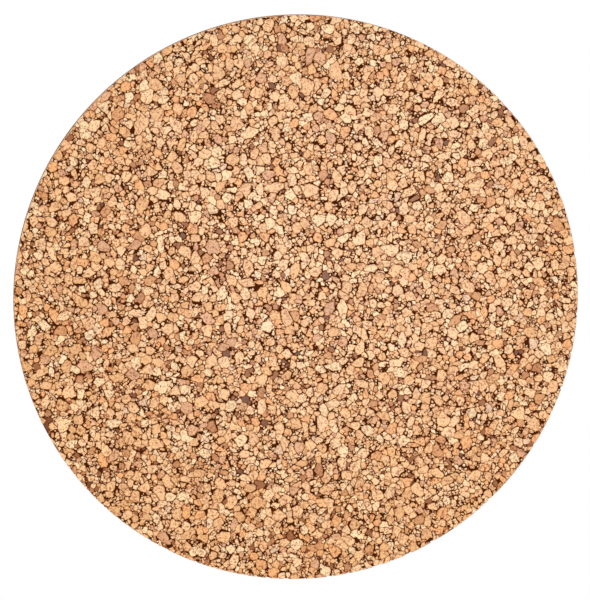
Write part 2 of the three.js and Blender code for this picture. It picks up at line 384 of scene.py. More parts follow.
def arc(across, up, radius, start, end, count):
    """Points along an arc, from one angle in degrees to another."""
    turns = [math.radians(start + (end - start) * i / count) for i in range(count + 1)]
    return [(across + radius * math.cos(t), up + radius * math.sin(t)) for t in turns]


def new_tree(name, makes, **takes):
    """A geometry node tree with its named inputs and its output, and the inputs' sockets."""
    tree = bpy.data.node_groups.new(name, "GeometryNodeTree")
    for taken_in, kind in takes.items():
        tree.interface.new_socket(taken_in.replace("_", " "), in_out="INPUT",
                                  socket_type="NodeSocket" + kind)
    tree.interface.new_socket(makes, in_out="OUTPUT", socket_type="NodeSocketGeometry")
    return tree, new_node(tree, "NodeGroupInput").outputs


def ended(tree, made, finish):
    """Ends a tree: what it made becomes real, takes its finish and goes out."""
    real = new_node(tree, "GeometryNodeRealizeInstances", Geometry=made)
    finished = new_node(tree, "GeometryNodeSetMaterial", Geometry=real, Material=finish)
    new_node(tree, "NodeGroupOutput", in_0=finished)
    return tree


def wire_tree():
    """Geometry nodes that draw a round wire along a path and keep its length as an attribute."""
    tree, given = new_tree("bent_wire", "Wire", Path="Geometry", Wire_radius="Float", Sides="Int",
                           Finish="Material")
    path = new_node(tree, "GeometryNodeMeshToCurve", in_0=given["Path"])
    length = new_node(tree, "GeometryNodeSplineParameter").outputs["Length"]
    marked = new_node(tree, "GeometryNodeStoreNamedAttribute", {"data_type": "FLOAT", "domain": "POINT"},
                      Geometry=path, Name="along", Value=length)
    section = new_node(tree, "GeometryNodeCurvePrimitiveCircle", Resolution=given["Sides"],
                       Radius=given["Wire radius"])
    wire = new_node(tree, "GeometryNodeCurveToMesh", Curve=marked, in_1=section, Fill_Caps=True)
    return ended(tree, wire, given["Finish"])


def through_nodes(name, mesh, tree, **settings):
    """The mesh that a node tree makes of another mesh, as a new piece."""
    source = new_piece(name + "_source", mesh)
    modifier = source.modifiers.new("nodes", "NODES")
    modifier.node_group = tree
    sockets = {item.name: item.identifier for item in tree.interface.items_tree
               if item.item_type == "SOCKET" and item.in_out == "INPUT"}
    for setting, value in settings.items():
        modifier[sockets[setting.replace("_", " ")]] = value
    evaluated = source.evaluated_get(bpy.context.evaluated_depsgraph_get())
    result = bpy.data.meshes.new_from_object(evaluated)
    bpy.data.objects.remove(source)
    result.name = name
    if result.materials[0] is None:  # joined geometry brings an empty first slot
        result.materials.pop(index=0)
    return new_piece(name, result)


RING_CLOUD = 3 * MM
BENDING_MARK = 0.6 * MM  # between marks along the wire


def nickel_finish():
    """Bright nickel on drawn wire: warm, faintly clouded, with the bending tool's marks across it."""
    made, tree, shader = new_material("bright_nickel_plated_wire", Metallic=1.0, Roughness=0.2)
    place = new_node(tree, "ShaderNodeTexCoord").outputs["Object"]
    along = new_node(tree, "ShaderNodeAttribute", {"attribute_name": "along"}).outputs["Fac"]
    clouds = new_node(tree, "ShaderNodeTexNoise", Vector=place, Scale=1 / RING_CLOUD, Detail=4.0)
    marks = new_node(tree, "ShaderNodeTexNoise", {"noise_dimensions": "1D"}, W=along,
                     Scale=1 / BENDING_MARK)
    colour = new_node(tree, "ShaderNodeMix", {"data_type": "RGBA"}, in_0=clouds, in_6=srgb("#a79f92"),
                      in_7=srgb("#d6d0c4"))
    gloss = new_node(tree, "ShaderNodeMapRange", Value=clouds, in_1=0.3, in_2=0.7, in_3=0.12, in_4=0.28)
    bump = new_node(tree, "ShaderNodeBump", Strength=0.2, Distance=PLATING_RELIEF, Height=marks)
    link_finish(tree, shader, colour, gloss, bump)
    return made


nickel = nickel_finish()
bent_wire = wire_tree()
bar_end = RING_HALF_WIDTH - RING_CORNER_RADIUS
half_ring = ([(BUTT_GAP / 2, 0.0)] + arc(bar_end, RING_CORNER_RADIUS, RING_CORNER_RADIUS, -90, 0, 10)
             + arc(0, RING_SHOULDER, RING_HALF_WIDTH, 0, 90, 28))  # from its butted end to its top
ring_outline = half_ring + [(-across, up) for across, up in half_ring[-2::-1]]
for joint in frame["joints"]:
    side = joint["child"].split("_")[1]
    hinge = Vector(joint["pos_m"])
    points = [hinge + Vector((across, -up * math.sin(RING_LEAN), up * math.cos(RING_LEAN)))
              for across, up in ring_outline]
    path_mesh = bpy.data.meshes.new(f"ring_path_{side}")
    path_mesh.from_pydata(points, [(i, i + 1) for i in range(len(points) - 1)], [])
    ring = through_nodes(f"nickel_ring_{side}", path_mesh, bent_wire, Wire_radius=WIRE_RADIUS, Sides=22,
                         Finish=nickel)
    ring.data.shade_smooth()
    ring.data.set_sharp_from_angle(angle=SHARP_EDGE)
    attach(ring, joint["child"])
    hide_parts(f"d_ring_{side}")

# ---------------------------------------------------------------------------------------------
# Rivets and washers
#
# Semi-tubular steel rivets, zinc plated. Each domed head bears on its strap; the hollow end is
# rolled over a washer on the hardboard's front, in a pocket that the cork covers.
# ---------------------------------------------------------------------------------------------

STRAP_FACE = 1.7      # mm from the hardboard's back to the straps' outer face
RIVET_HEAD_RADIUS = 3.0
RIVET_HEAD_HEIGHT = 1.2
HEAD_EDGE = 0.12      # by which the head's edge is rounded under
HEAD_INSET = 0.02     # that the turned dome lies inside the CAD's
SHANK_RADIUS = 1.5
TUBE_RADIUS = 0.9     # of the hollow in the shank's end
TUBE_DEPTH = 2.0
ROLL_RADIUS = 0.5     # of the rolled end's section
ROLL_MIDDLE = 1.9     # from the rivet's line to the middle of that section
WASHER_BORE = 1.6
WASHER_RADIUS = 4.0
WASHER_THICKNESS = 0.6
BOARD_THICKNESS = (BACK_Y - front_y) / MM


def turned(name, profile, count, closed=False):
    """A turned shape about Y, from a profile of radius and height in mm, base at the origin."""
    work = bmesh.new()
    rings = []
    for radius, height in profile:
        pole = work.verts.new((0, height * MM, 0)) if radius == 0 else None
        rings.append([pole] * count if pole else ring_of(work, radius * MM, height * MM, count=count))
    for ring, following in zip(rings, rings[1:] + (rings[:1] if closed else [])):
        for i in range(count):
            around = dict.fromkeys((ring[i - 1], ring[i], following[i], following[i - 1]))
            work.faces.new(around).smooth = True
    bmesh.ops.recalc_face_normals(work, faces=work.faces)
    mesh = bpy.data.meshes.new(name)
    work.to_mesh(mesh)
    work.free()
    mesh.set_sharp_from_angle(angle=SHARP_EDGE)
    return mesh


dome_radius = (RIVET_HEAD_RADIUS ** 2 + RIVET_HEAD_HEIGHT ** 2) / (2 * RIVET_HEAD_HEIGHT)
dome_centre = STRAP_FACE + RIVET_HEAD_HEIGHT - dome_radius
rim_angle = math.degrees(math.acos(RIVET_HEAD_RADIUS / dome_radius))
rolled_end = -BOARD_THICKNESS - WASHER_THICKNESS - 2 * ROLL_RADIUS
rivet_profile = (
    [(0, rolled_end + TUBE_DEPTH), (TUBE_RADIUS, rolled_end + TUBE_DEPTH), (TUBE_RADIUS, rolled_end)]
    + arc(ROLL_MIDDLE, rolled_end + ROLL_RADIUS, ROLL_RADIUS, -90, 90, 5)
    + [(SHANK_RADIUS, rolled_end + 2 * ROLL_RADIUS), (SHANK_RADIUS, STRAP_FACE),
       (RIVET_HEAD_RADIUS - HEAD_EDGE, STRAP_FACE)]
    + [(radius - HEAD_INSET, height)
       for radius, height in arc(0, dome_centre, dome_radius, rim_angle + 1, 84, 9)]
    + [(0, dome_centre + dome_radius - 1.5 * HEAD_INSET)])
washer_profile = [
    (WASHER_BORE, 0.0), (WASHER_RADIUS - 0.1, 0.0), (WASHER_RADIUS, 0.1), (WASHER_RADIUS, 0.5),
    (WASHER_RADIUS - 0.15, WASHER_THICKNESS), (WASHER_BORE + 0.1, WASHER_THICKNESS), (WASHER_BORE, 0.5)]


def set_out_tree():
    """Geometry nodes that set a fastener at each place, each turned about its own line by chance."""
    tree, given = new_tree("set_out_fasteners", "Fasteners", Places="Geometry", Fastener="Object",
                           Seed="Int", Finish="Material")
    shape = new_node(tree, "GeometryNodeObjectInfo", Object=given["Fastener"])
    turn = new_node(tree, "FunctionNodeRandomValue", {"data_type": "FLOAT_VECTOR"}, in_0=(0, 0, 0),
                    in_1=(0, 2 * math.pi, 0), Seed=given["Seed"])
    set_out = new_node(tree, "GeometryNodeInstanceOnPoints", Points=given["Places"],
                       Instance=shape.outputs["Geometry"], Rotation=turn)
    return ended(tree, set_out, given["Finish"])


set_out_fasteners = set_out_tree()


def set_out(name, shape_mesh, places, finish, seed, nodes, slot):
    """One piece that holds a copy of a shape at every place, riding on the board."""
    shape = new_piece(f"{name}_shape", shape_mesh)
    places_mesh = bpy.data.meshes.new(f"{name}_places")
    places_mesh.from_pydata(places, [], [])
    piece = through_nodes(name, places_mesh, set_out_fasteners, Fastener=shape, Seed=seed, Finish=finish)
    bpy.data.objects.remove(shape)
    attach(piece, "board")
    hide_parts(*nodes)
    return piece


zinc_rivet = plated_finish("bright_zinc_plated_rivet", "#bfc3c6", 0.28, 1.2 * MM, 1.2 * MM, 0.08)
rivet_places = [(centre(rivet).x, BACK_Y, centre(rivet).z) for rivet in RIVETS]
set_out("rivets", turned("rivet", rivet_profile, 32), rivet_places, zinc_rivet, 2, RIVETS,
        "zinc_plated_rivet")
WASHERS = [rivet.replace("rivet_", "rivet_washer_") for rivet in RIVETS]
washer_places = [(x, front_y - WASHER_THICKNESS * MM, z) for x, _, z in rivet_places]
set_out("washers", turned("washer", washer_profile, 32, closed=True), washer_places, zinc_rivet, 4,
        WASHERS, "zinc_plated_rivet")

# ---------------------------------------------------------------------------------------------
# Cork slab
#
# Bark of the cork oak is ground, sieved, glued into a block and sliced into 5 mm sheets. This
# section is the slab inside the cut granules: dark binder and the fines that it holds together.
# ---------------------------------------------------------------------------------------------

cork_low, cork_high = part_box("cork_face")
FACE_Y = cork_low.y
GLUED_Y = cork_high.y
CORK_RADIUS = (cork_high.x - cork_low.x) / 2 / MM
BED_DEPTH = 0.65  # mm from the face, and from the rim, down to the binder between the granules
GRIT = 0.45       # mm across a grain in the binder

bed_mesh = cad_copy("cork_face", "cork_binder_bed")
for vertex in bed_mesh.vertices:
    if math.hypot(vertex.co.x, vertex.co.z) > (CORK_RADIUS - 1) * MM:
        vertex.co.x *= 1 - BED_DEPTH / CORK_RADIUS
        vertex.co.z *= 1 - BED_DEPTH / CORK_RADIUS
    if vertex.co.y < FACE_Y + 0.1 * MM:
        vertex.co.y = FACE_Y + BED_DEPTH * MM
bed = new_piece("cork_binder_bed", bed_mesh)
# Polyurethane binder with cork dust and grit: nearly black brown, and matt.
binder, binder_tree, binder_shader = new_material("cork_dust_binder", Roughness=0.9,
                                                  Specular_IOR_Level=0.05)
binder_place = new_node(binder_tree, "ShaderNodeTexCoord").outputs["Object"]
binder_grit = new_node(binder_tree, "ShaderNodeTexNoise", Vector=binder_place, Scale=1 / (2 * GRIT * MM))
binder_colour = new_node(binder_tree, "ShaderNodeMix", {"data_type": "RGBA"}, in_0=binder_grit,
                         in_6=srgb("#1e0700"), in_7=srgb("#5e2803"))
binder_tree.links.new(binder_colour.outputs[2], binder_shader.inputs["Base Color"])
bed_mesh.materials.append(binder)
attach(bed, "board")
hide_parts("cork_face")

# ---------------------------------------------------------------------------------------------
# Cork granules of the face
#
# The slicing knife cuts every granule flush, so the face is flat plates of many tans. Pressing
# has squeezed them into each other's corners; a line of binder or an open pocket parts them.
# ---------------------------------------------------------------------------------------------

# Each sieve: its largest and smallest granule radius in mm, how many are thrown at the face, how
# near one may land to those already there, in its own radii, and how many rays trace an outline.
SIEVES = {
    "coarse": (3.3, 2.0, 2000, 0.60, 44),
    "medium": (2.0, 1.25, 9000, 0.60, 36),
    "small": (1.25, 0.8, 24000, 0.66, 26),
    "fine": (0.8, 0.5, 46000, 0.74, 18),
    "dust": (0.5, 0.30, 65000, 0.84, 8),
}
SIDES = 5           # flat sides of a granule before pressing
SQUEEZE = 0.55      # how far a granule spreads into free room, in its own radii
CHIP = 0.12         # mm that an outline may leave its traced line by, between two corners
THIN_LINE = 0.02    # mm of binder between two granules pressed together
THICK_LINE = 0.34   # mm more where they were not
JOINED = 0.15       # share of the granules that are half joined to another
chance = np.random.default_rng(11)
luck_of_kin = np.random.default_rng(5).uniform(0, 1, (40000, 6))  # six draws that decide kin's looks


def sow(half_width, half_height):
    """Throws granules at a rectangle, the coarse first. Rows of x, z, radius and sieve, if they fit."""
    pitch, margin = 0.3, 8.0  # mm: of the grid that keeps the distance to the nearest granule
    xs = np.arange(-half_width - margin, half_width + margin, pitch)
    zs = np.arange(-half_height - margin, half_height + margin, pitch)
    clear = np.full((len(zs), len(xs)), 99.0)
    sown = []
    for sieve, (largest, smallest, throws, crowding, _) in SIEVES.items():
        throws = int(throws * half_width * half_height / CORK_RADIUS ** 2)
        places = chance.uniform((-half_width, -half_height), (half_width, half_height), (throws, 2))
        radii = np.sort(smallest + (largest - smallest) * chance.uniform(0, 1, throws) ** 1.3)[::-1]
        cols = ((places[:, 0] - xs[0]) / pitch).astype(int)
        rows = ((places[:, 1] - zs[0]) / pitch).astype(int)
        for (x, z), radius, col, row in zip(places, radii, cols, rows):
            if clear[row, col] < radius * crowding:
                continue
            reach = int((radius + largest + 0.5) / pitch)
            near = (slice(max(row - reach, 0), row + reach), slice(max(col - reach, 0), col + reach))
            distance = np.hypot(xs[near[1]][None, :] - x, zs[near[0]][:, None] - z) - radius
            clear[near] = np.minimum(clear[near], distance)
            sown.append((x, z, radius, sieve))
    return sown


def cornered(outline, first=0, last=None):
    """The corners of a traced outline: those that stand more than a chip off the line of the others."""
    last = len(outline) - 1 if last is None else last
    start, line = outline[first], outline[last] - outline[first]
    between = outline[first + 1:last] - start
    if len(between) == 0:
        return [first]
    off = np.abs(line[0] * between[:, 1] - line[1] * between[:, 0]) / (np.hypot(*line) + 1e-9)
    farthest = int(off.argmax())
    if off[farthest] < CHIP:
        return [first]
    middle = first + 1 + farthest
    return cornered(outline, first, middle) + cornered(outline, middle, last)


def pressed(sown):
    """Every granule's outline, as far as its neighbours let it spread, with its sieve, number and kin."""
    count = len(sown)
    places = np.array([(x, z) for x, z, _, _ in sown])
    radii = np.array([radius for _, _, radius, _ in sown])
    bearings = ((np.arange(SIDES) + chance.uniform(-0.42, 0.42, (count, SIDES))) * 2 * np.pi / SIDES
                + chance.uniform(0, 2 * np.pi, (count, 1)))
    lay = chance.uniform(0, np.pi, (count, 1))
    length = 1 + chance.uniform(0, 1, (count, 1)) ** 1.5
    sides = np.stack((np.cos(bearings), np.sin(bearings)), 2)
    offsets = (radii[:, None] * chance.uniform(0.45, 1.0, (count, SIDES))
               * np.hypot(length * np.cos(bearings - lay), np.sin(bearings - lay) / length))
    spread = radii * SQUEEZE * chance.uniform(0.4, 1.6, count)
    span = 1.3 * offsets.max(1) + spread
    bond = chance.uniform(0, 1, count)
    tree = kdtree.KDTree(count)
    for i, (x, z) in enumerate(places):
        tree.insert((x, z, 0), i)
    tree.balance()
    # Some granules are still half joined to a neighbour, which gives the large crooked shapes.
    kin = np.arange(count)
    for i in np.flatnonzero(chance.uniform(0, 1, count) < JOINED):
        for _, j, _ in tree.find_n((*places[i], 0), 6):
            if j < i and radii[j] > 1:
                kin[i] = kin[j]
                break
    widest = span.max()
    found = []
    for i, (x, z, radius, sieve) in enumerate(sown):
        rays = SIEVES[sieve][4]
        near = [j for _, j, apart in tree.find_range((x, z, 0), span[i] + widest)
                if j != i and apart < span[i] + span[j]]
        if not near:
            continue
        turn = (np.arange(rays) + 0.5) * 2 * np.pi / rays
        ways = np.stack((np.cos(turn), np.sin(turn)))
        steps = np.linspace(0, span[i], 20)
        # Depth inside a granule's own sides is negative; a neighbour wins where its own is lower.
        own = (sides[i] @ ways)[:, :, None] * steps - offsets[i][:, None, None]
        own = own.max(0)
        apart = ((places[i] - places[near])[:, None] * sides[near]).sum(2) - offsets[near]
        theirs = (sides[near] @ ways)[:, :, :, None] * steps + apart[:, :, None, None]
        mixed = (bond[i] + bond[near]) % 1
        line = np.where(kin[near] == kin[i], -0.2, THIN_LINE + THICK_LINE * mixed ** 3)
        free = (theirs.max(1) - own - line[:, None, None]).min(0)
        free = np.minimum(free, spread[i] - own)
        if free[0, 0] <= 0:
            continue
        free[:, -1] = np.minimum(free[:, -1], -1e-6)
        stop = (free <= 0).argmax(1)
        ray = np.arange(rays)
        before, after = free[ray, stop - 1], free[ray, stop]
        reach = steps[stop - 1] + (steps[stop] - steps[stop - 1]) * before / (before - after)
        if reach.mean() > 0.3:
            outline = places[i] + (ways * reach).T
            outline = np.roll(outline, -int(reach.argmax()), 0)
            half = int(np.hypot(*(outline - outline[0]).T).argmax())
            corners = cornered(outline, 0, half) + cornered(np.vstack((outline, outline[:1])), half, rays)
            if len(corners) > 2:
                found.append((outline[corners].round(6).tolist(), sieve, i, kin[i]))
    return found


noise.seed_set(7)  # without a seed, this noise is shifted by the clock


def weathered(corners, number):
    """Shifts an outline in and out, as the broken edge of a crushed piece wanders."""
    shifted = []
    for x, z in corners:
        # The first two drifts move neighbours together; the last is the granule's own. In mm.
        across, up = x, z
        for reach, layer, drift in ((11, 4.0, 0.9), (2.3, 9.0, 0.45), (0.9, 3.7 * number, 0.25)):
            way = noise.noise_vector(Vector((x / reach, z / reach, layer)))
            across += drift * way.x
            up += drift * way.y
        shifted.append((across, up))
    return shifted


# Tints of cut cork with their shares: pale summer bark, tans, a few orange and pinkish ones, and
# among the smaller pieces more of the dark outer bark.
CORK_TINTS = {
    "#fdd8a6": 12, "#facc99": 20, "#f6c28c": 22, "#f0ba83": 15, "#ebb378": 12, "#f1af72": 8,
    "#dda77b": 4, "#d49760": 3, "#bb7f4d": 1,
}
BARK_TINTS = {"#fcdbae": 4, "#e9c39e": 2, "#c2895a": 3, "#915a2c": 2, "#5e3411": 1.2}
PORE_SHARE = {"coarse": 0.45, "medium": 0.3, "small": 0.1, "fine": 0, "dust": 0}
BARK_SHARE = {"coarse": 0.01, "medium": 0.06, "small": 0.15, "fine": 0.3, "dust": 0.4}


def flat_granules(name, cells, place):
    """A mesh with one flat face for each granule, lying at its base, with the granule's own facts."""
    mesh = bpy.data.meshes.new(name)
    points, faces = [], []
    for corners, _, _, depth in cells:
        faces.append(range(len(points), len(points) + len(corners)))
        points += [place(x, z, depth) for x, z in corners]
    mesh.from_pydata(points, [], faces)
    luck = luck_of_kin[[kin for _, _, kin, _ in cells]]

    def picked(tints, pick):
        shares = np.cumsum(list(tints.values()))
        return np.array([srgb(code) for code in tints])[np.searchsorted(shares / shares[-1], pick)]

    bark = luck[:, 0] < np.array([BARK_SHARE[sieve] for _, sieve, _, _ in cells])
    tint = np.where(bark[:, None], picked(BARK_TINTS, luck[:, 1]), picked(CORK_TINTS, luck[:, 1]))
    tint[:, :3] *= 0.89 + 0.12 * luck[:, 2:3]
    # Some granules show a pore; on the others it lies out of the way.
    middles = np.array([np.mean([points[i] for i in face], 0) for face in faces])
    has_pore = luck[:, 3] < np.array([PORE_SHARE[sieve] for _, sieve, _, _ in cells])
    pores = middles + np.where(has_pore[:, None], chance.uniform(-0.9, 0.9, (len(cells), 3)) * MM, 1.0)
    facts = {
        "tint": ("FLOAT_COLOR", "color", tint),
        "pore": ("FLOAT_VECTOR", "vector", pores),
        "middle": ("FLOAT_VECTOR", "vector", middles),
        "lay": ("FLOAT", "value", luck[:, 4] * math.pi),
        "kind": ("FLOAT", "value", luck[:, 5]),
        "depth": ("FLOAT", "value", np.array([depth for _, _, _, depth in cells]) * MM),
    }
    for fact, (sort, field, values) in facts.items():
        mesh.attributes.new(fact, sort, "FACE").data.foreach_set(field, values.astype(np.float32).ravel())
    return mesh


LEAST_TOP = 0.4  # of a granule's size, that its flat top keeps however small it is
WELD = 1e-7


def granule_tree():
    """Geometry nodes that raise each flat granule into a plate with a soft edge and a closed base."""
    tree, given = new_tree("granule_plates", "Plates", Granules="Geometry", Edge_height="Float",
                           Edge_width="Float", Unevenness="Float", Seed="Int", Finish="Material")
    # A plate rises by its own depth, less its soft edge and a random shortfall.
    depth = new_node(tree, "GeometryNodeInputNamedAttribute", {"data_type": "FLOAT"}, Name="depth")
    shortfall = new_node(tree, "FunctionNodeRandomValue", {"data_type": "FLOAT"}, Seed=given["Seed"],
                         in_3=given["Unevenness"]).outputs[1]
    below_edge = new_node(tree, "ShaderNodeMath", {"operation": "SUBTRACT"}, in_0=depth,
                          in_1=given["Edge height"])
    height = new_node(tree, "ShaderNodeMath", {"operation": "SUBTRACT"}, in_0=below_edge, in_1=shortfall)
    walls = new_node(tree, "GeometryNodeExtrudeMesh", {"mode": "FACES"}, Mesh=given["Granules"],
                     Offset_Scale=height)
    edge = new_node(tree, "GeometryNodeExtrudeMesh", {"mode": "FACES"}, Mesh=walls,
                    Selection=walls.outputs["Top"], Offset_Scale=given["Edge height"])
    # Its top is drawn in by the edge's width, but never to less than a share of its size.
    area = new_node(tree, "GeometryNodeInputMeshFaceArea")
    across = new_node(tree, "ShaderNodeMath", {"operation": "SQRT"}, in_0=area)
    worn = new_node(tree, "ShaderNodeMath", {"operation": "DIVIDE"}, in_0=given["Edge width"],
                    in_1=across)
    left = new_node(tree, "ShaderNodeMath", {"operation": "SUBTRACT"}, in_0=1.0, in_1=worn)
    shrink = new_node(tree, "ShaderNodeMath", {"operation": "MAXIMUM"}, in_0=LEAST_TOP, in_1=left)
    narrowed = new_node(tree, "GeometryNodeScaleElements", {"domain": "FACE"}, Geometry=edge,
                        Selection=edge.outputs["Top"], Scale=shrink)
    # The crest is 1 on the top, a half on the soft edge and 0 on the walls and the base.
    crest = new_node(tree, "ShaderNodeMath", {"operation": "MULTIPLY_ADD"}, in_0=edge.outputs["Side"],
                     in_1=0.5, in_2=edge.outputs["Top"])
    marked = new_node(tree, "GeometryNodeStoreNamedAttribute", {"data_type": "FLOAT", "domain": "FACE"},
                      Geometry=narrowed, Name="crest", Value=crest)
    base = new_node(tree, "GeometryNodeFlipFaces", Mesh=given["Granules"])
    closed = new_node(tree, "GeometryNodeJoinGeometry")
    for part in (base, marked):
        tree.links.new(part.outputs[0], closed.inputs[0])
    welded = new_node(tree, "GeometryNodeMergeByDistance", Geometry=closed, Distance=WELD)
    return ended(tree, welded, given["Finish"])


# Cut cork: millions of tiny air cells make it matt and warm, and it browns as it darkens, towards
# the bark's tannin. Each granule has growth rings on its own lay, mottling, flecks and pores. Its
# walls, and less its soft edges, get painted shade: a deep brown, as the crevices would show in shade.
cut_cork, cork_tree, cork_shader = new_material("cut_agglomerated_cork", Roughness=0.75, Coat_Weight=0.2,
                                                Specular_IOR_Level=0.03, Coat_Roughness=0.24)
TANNIN_AND_SHADE_BROWN = srgb("#8a3e05")
GROWTH_RING = (1.1 * MM, 4 * MM, 6 * MM)  # between growth rings, and how far one runs each way
MOTTLE = 1.1        # mm across a patch of mottling
FLECK = 0.75        # mm between flecks of bark dust, before most are passed over
PORE_RADIUS = 0.36  # mm

cork_facts = {}
for fact, output in (("lay", "Fac"), ("kind", "Fac"), ("crest", "Fac"), ("pore", "Vector"),
                     ("tint", "Color")):
    cork_facts[fact] = new_node(cork_tree, "ShaderNodeAttribute", {"attribute_name": fact}).outputs[output]
cork_place = new_node(cork_tree, "ShaderNodeTexCoord").outputs["Object"]
cork_turned = new_node(cork_tree, "ShaderNodeVectorRotate", {"rotation_type": "Y_AXIS"},
                       Vector=cork_place, Angle=cork_facts["lay"])
along_rings = new_node(cork_tree, "ShaderNodeVectorMath", {"operation": "DIVIDE"}, in_0=cork_turned,
                       in_1=GROWTH_RING)
ring_wave = new_node(cork_tree, "ShaderNodeTexNoise", Vector=along_rings, Scale=1.0, Detail=2.0)
crack_wave = new_node(cork_tree, "ShaderNodeTexNoise", Vector=along_rings, Scale=0.6, Detail=1.0)
crack_side = new_node(cork_tree, "ShaderNodeMath", {"operation": "SUBTRACT"}, in_0=crack_wave, in_1=0.5)
crack_distance = new_node(cork_tree, "ShaderNodeMath", {"operation": "ABSOLUTE"}, in_0=crack_side)
mottle_wave = new_node(cork_tree, "ShaderNodeTexNoise", Vector=cork_place, Scale=1 / (MOTTLE * MM),
                       Detail=4.0, Roughness=0.65)
fleck_cells = new_node(cork_tree, "ShaderNodeTexVoronoi", Vector=cork_place, Scale=1 / (FLECK * MM))
fleck_pick = new_node(cork_tree, "ShaderNodeSeparateColor", Color=fleck_cells.outputs["Color"])
pore_distance = new_node(cork_tree, "ShaderNodeVectorMath", {"operation": "DISTANCE"}, in_0=cork_place,
                         in_1=cork_facts["pore"]).outputs["Value"]

# Each stain, and the painted shade of the walls, is one ramp or several multiplied. A ramp is a
# value, where it begins and ends, and how strong the darkening is at the one and the other. The
# darkenings add up, but never hide the tint.
stains_and_painted_shade = {
    # Painted shade: walls (crest 0) and soft edges (crest a half) darken to deep brown, as shaded
    # crevices.
    "painted crevice shade": [(cork_facts["crest"], 0.0, 0.75, 0.92, 0.0)],
    "fleck": [(fleck_cells.outputs["Distance"], 0.25, 0.5, 1.0, 0.0), (fleck_pick, 0.87, 0.90, 0.0, 0.85),
              (cork_facts["kind"], 0.35, 0.7, 1.0, 0.1)],
    "crack": [(crack_distance, 0.0, 0.045, 0.8, 0.0), (mottle_wave, 0.46, 0.56, 0.0, 1.0)],
    "pore": [(pore_distance, 0.6 * PORE_RADIUS * MM, 1.3 * PORE_RADIUS * MM, 0.85, 0.0)],
    "pore halo": [(pore_distance, PORE_RADIUS * MM, 3.4 * PORE_RADIUS * MM, 0.22, 0.0)],
    "growth ring": [(ring_wave, 0.44, 0.66, 0.0, 1.0), (cork_facts["kind"], 0.25, 1.0, 0.0, 0.34)],
    "mottle": [(mottle_wave, 0.46, 0.70, 0.0, 0.55)],
}
MOST_DARKENING = 0.95
all_darkening = None
for ramps in stains_and_painted_shade.values():
    darkening = None
    for value, begins, ends, first, last in ramps:
        ramp = new_node(cork_tree, "ShaderNodeMapRange", Value=value, in_1=begins, in_2=ends, in_3=first,
                        in_4=last)
        darkening = ramp if darkening is None else new_node(
            cork_tree, "ShaderNodeMath", {"operation": "MULTIPLY"}, in_0=darkening, in_1=ramp)
    all_darkening = darkening if all_darkening is None else new_node(
        cork_tree, "ShaderNodeMath", {"operation": "ADD"}, in_0=all_darkening, in_1=darkening)
held_darkening = new_node(cork_tree, "ShaderNodeMath", {"operation": "MINIMUM"}, in_0=all_darkening,
                      in_1=MOST_DARKENING)
darkened = new_node(cork_tree, "ShaderNodeMix", {"data_type": "RGBA"}, in_0=held_darkening,
                   in_6=cork_facts["tint"], in_7=TANNIN_AND_SHADE_BROWN)
# Where the mottling is thinnest, the cork is a little brighter than its tint.
lift = new_node(cork_tree, "ShaderNodeMapRange", Value=mottle_wave, in_1=0.25, in_2=0.5, in_3=1.06,
                in_4=1.0)
cork_colour = new_node(cork_tree, "ShaderNodeVectorMath", {"operation": "SCALE"}, in_0=darkened.outputs[2],
                       Scale=lift)
cork_tree.links.new(cork_colour.outputs[0], cork_shader.inputs["Base Color"])
cork_bump = new_node(cork_tree, "ShaderNodeBump", Strength=0.25, Distance=0.15 * MM, Height=mottle_wave)
cork_tree.links.new(cork_bump.outputs[0], cork_shader.inputs["Normal"])


CUT_RADIUS = CORK_RADIUS - 0.02  # mm from the middle to the walls that the round cutter leaves


def on_face(x, z, depth):
    """A point of the face, at a depth in mm below it, no farther out than the cutter leaves."""
    distance = math.hypot(x, z)
    inside = min(1.0, CUT_RADIUS / distance) if distance else 1.0
    return (x * inside * MM, FACE_Y + depth * MM, z * inside * MM)


def show_cut_rim(mesh):
    """Marks the walls that lie on the rim as cut cork, like the plates' tops, without painted shade."""
    crests = mesh.attributes["crest"].data
    centres, crest = np.empty(len(crests) * 3, np.float32), np.empty(len(crests), np.float32)
    mesh.polygons.foreach_get("center", centres)
    crests.foreach_get("value", crest)
    out = np.hypot(*centres.reshape(-1, 3)[:, ::2].T)
    crests.foreach_set("value", np.where(out > (CUT_RADIUS - 0.06) * MM, 1, crest))


# Each granule piece has a flat map named OFBake, for painting it. Plates lie on the map as on the
# board, drawn in a little so that their walls fit round them. Rows along the top hold the walls
# that the cutter left on the rim, and a free corner holds the hidden bases.
HALF_GIRTH = math.pi * CORK_RADIUS
MAP_FACE = 0.9           # of the map's side, for the face
MAP_ROWS = (0.91, 0.06)  # where the rows of rim begin, and their height together
ROWS = 4
MAP_BASES = (0.01, 0.13)
# How far a plate's top is drawn in on the map, and its walls' foot spread out, in its own size.
DRAWN_IN = 0.12
WALL_SPREAD = {"coarse": 0.0, "medium": 0.0, "small": 0.1, "fine": 0.35, "dust": 0.8}


def corners_of(mesh):
    """Every face corner's place, its granule's middle, and its face's crest, normal and centre."""
    def read(items, field, width=1, kind=np.float32):
        values = np.empty(len(items) * width, kind)
        items.foreach_get(field, values)
        return values.reshape(-1, width) if width > 1 else values

    face = np.repeat(np.arange(len(mesh.polygons)), read(mesh.polygons, "loop_total", kind=np.int32))
    places = read(mesh.vertices, "co", 3)[read(mesh.loops, "vertex_index", kind=np.int32)] / MM
    middles = read(mesh.attributes["middle"].data, "vector", 3)[face] / MM
    return (places, middles, read(mesh.attributes["crest"].data, "value")[face],
            read(mesh.polygons, "normal", 3)[face], read(mesh.polygons, "center", 3)[face] / MM)


